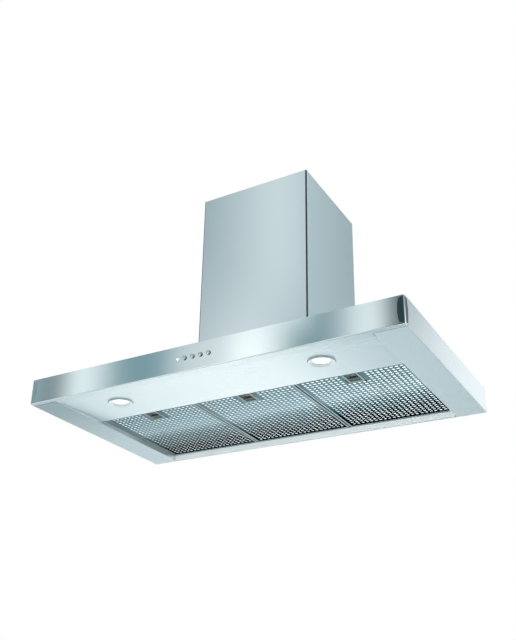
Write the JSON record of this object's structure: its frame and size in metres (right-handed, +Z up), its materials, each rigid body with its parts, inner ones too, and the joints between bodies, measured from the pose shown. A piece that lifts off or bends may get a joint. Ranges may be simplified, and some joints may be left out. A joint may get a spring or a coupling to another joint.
{
  "type": "wall range hood",
  "caption": "T-shaped kitchen range hood: a flat lit canopy with grease filters and push buttons under a telescopic chimney with a ducted blower.",
  "frame": {"origin": "on the wall plane, midway between the sides, level with the canopy's underside", "axes": "+X to the right as seen from the front, +Y towards the wall, +Z up"},
  "size_m": [0.9, 0.5032, 0.588],
  "materials": {
    "brushed_steel": "brushed along the width",
    "brushed_steel_upright": "brushed across the cover",
    "satin_steel": "fine satin",
    "polished_steel": "polished",
    "galvanised_steel": "galvanised sheet",
    "satin_chrome": "satin",
    "frosted_glass": "frosted, lit",
    "clear_plastic": "clear, lit",
    "black_plastic": "moulded",
    "circuit_board": "coated laminate",
    "button_chrome": "satin chrome",
    "motor_paint": "stove enamel",
    "machined_steel": "machined",
    "white_plastic": "moulded",
    "grey_plastic": "moulded",
    "filter_aluminium": "mill finish",
    "filter_face_metal": "pressed sheet",
    "filter_mesh_metal": "bright knitted foil",
    "latch_plastic": "moulded",
    "latch_metal": "dark bronze"
  },
  "bodies": {
    "hood": {"front_fascia": "brushed_steel", "side_panel_left": "brushed_steel", "side_panel_right": "brushed_steel", "corner_cap_left": "polished_steel", "corner_cap_right": "polished_steel", "top_panel": "brushed_steel", "rear_panel": "galvanised_steel", "filter_ledge": "satin_steel", "lamp_panel": "satin_steel", "lamp_bezel_left": "satin_chrome", "lamp_bezel_right": "satin_chrome", "lamp_lens_left": "frosted_glass", "lamp_lens_right": "frosted_glass", "lamp_holder_left": "galvanised_steel", "lamp_holder_right": "galvanised_steel", "indicator_lens": "clear_plastic", "switch_housing": "black_plastic", "switch_board": "circuit_board", "chimney_lower": "brushed_steel_upright", "blower_box": "galvanised_steel", "scroll_half_left": "black_plastic", "scroll_half_right": "black_plastic", "motor": "motor_paint", "motor_bracket": "galvanised_steel", "capacitor": "white_plastic", "terminal_box": "white_plastic", "cable_gland": "black_plastic", "outlet_collar": "black_plastic", "box_screws": "machined_steel"},
    "upper_cover": {"chimney_upper": "brushed_steel_upright", "chimney_bracket": "galvanised_steel"},
    "fan": {"motor_shaft": "machined_steel", "impeller": "white_plastic"},
    "front_flap": {"damper_flap_front": "grey_plastic"},
    "rear_flap": {"damper_flap_rear": "grey_plastic"},
    "light_button": {"button_light": "button_chrome"},
    "low_button": {"button_low": "button_chrome"},
    "medium_button": {"button_medium": "button_chrome"},
    "high_button": {"button_high": "button_chrome"},
    "left_filter": {"filter_frame_left": "filter_aluminium", "filter_face_left": "filter_face_metal", "filter_mesh_left": "filter_mesh_metal", "filter_back_left": "filter_aluminium", "latch_pocket_left": "latch_plastic", "latch_spring_left": "machined_steel"},
    "centre_filter": {"filter_frame_centre": "filter_aluminium", "filter_face_centre": "filter_face_metal", "filter_mesh_centre": "filter_mesh_metal", "filter_back_centre": "filter_aluminium", "latch_pocket_centre": "latch_plastic", "latch_spring_centre": "machined_steel"},
    "right_filter": {"filter_frame_right": "filter_aluminium", "filter_face_right": "filter_face_metal", "filter_mesh_right": "filter_mesh_metal", "filter_back_right": "filter_aluminium", "latch_pocket_right": "latch_plastic", "latch_spring_right": "machined_steel"},
    "left_latch": {"latch_slider_left": "latch_metal"},
    "centre_latch": {"latch_slider_centre": "latch_metal"},
    "right_latch": {"latch_slider_right": "latch_metal"}
  },
  "joints": [
    {"name": "upper_cover_slide", "type": "slide", "parent": "hood", "child": "upper_cover", "axis": [0, 0, 1], "range_m": [0, 0.4]},
    {"name": "fan_spin", "type": "hinge", "parent": "hood", "child": "fan", "pos_m": [0, -0.16, 0.175], "axis": [1, 0, 0], "continuous": true},
    {"name": "front_flap_swing", "type": "hinge", "parent": "hood", "child": "front_flap", "pos_m": [0, -0.09432, 0.3132], "axis": [-1, 0, 0], "range_deg": [0, 75]},
    {"name": "rear_flap_swing", "type": "hinge", "parent": "hood", "child": "rear_flap", "pos_m": [0, -0.08632, 0.3132], "axis": [1, 0, 0], "range_deg": [0, 75]},
    {"name": "light_button_press", "type": "slide", "parent": "hood", "child": "light_button", "axis": [0, 1, 0], "range_m": [0, 0.0025], "stiffness_N_per_m": 400},
    {"name": "low_button_press", "type": "slide", "parent": "hood", "child": "low_button", "axis": [0, 1, 0], "range_m": [0, 0.0025], "stiffness_N_per_m": 400},
    {"name": "medium_button_press", "type": "slide", "parent": "hood", "child": "medium_button", "axis": [0, 1, 0], "range_m": [0, 0.0025], "stiffness_N_per_m": 400},
    {"name": "high_button_press", "type": "slide", "parent": "hood", "child": "high_button", "axis": [0, 1, 0], "range_m": [0, 0.0025], "stiffness_N_per_m": 400},
    {"name": "left_filter_drop", "type": "hinge", "parent": "hood", "child": "left_filter", "pos_m": [-0.254, -0.01, 0.0133], "axis": [1, 0, 0], "range_deg": [0, 60]},
    {"name": "left_latch_slide", "type": "slide", "parent": "left_filter", "child": "left_latch", "axis": [0, 1, 0], "range_m": [-0.0035, 0.0035], "stiffness_N_per_m": 500, "deforming": ["latch_spring_left"]},
    {"name": "centre_filter_drop", "type": "hinge", "parent": "hood", "child": "centre_filter", "pos_m": [0, -0.01, 0.0133], "axis": [1, 0, 0], "range_deg": [0, 60]},
    {"name": "centre_latch_slide", "type": "slide", "parent": "centre_filter", "child": "centre_latch", "axis": [0, 1, 0], "range_m": [-0.0035, 0.0035], "stiffness_N_per_m": 500, "deforming": ["latch_spring_centre"]},
    {"name": "right_filter_drop", "type": "hinge", "parent": "hood", "child": "right_filter", "pos_m": [0.254, -0.01, 0.0133], "axis": [1, 0, 0], "range_deg": [0, 60]},
    {"name": "right_latch_slide", "type": "slide", "parent": "right_filter", "child": "right_latch", "axis": [0, 1, 0], "range_m": [-0.0035, 0.0035], "stiffness_N_per_m": 500, "deforming": ["latch_spring_right"]}
  ]
}
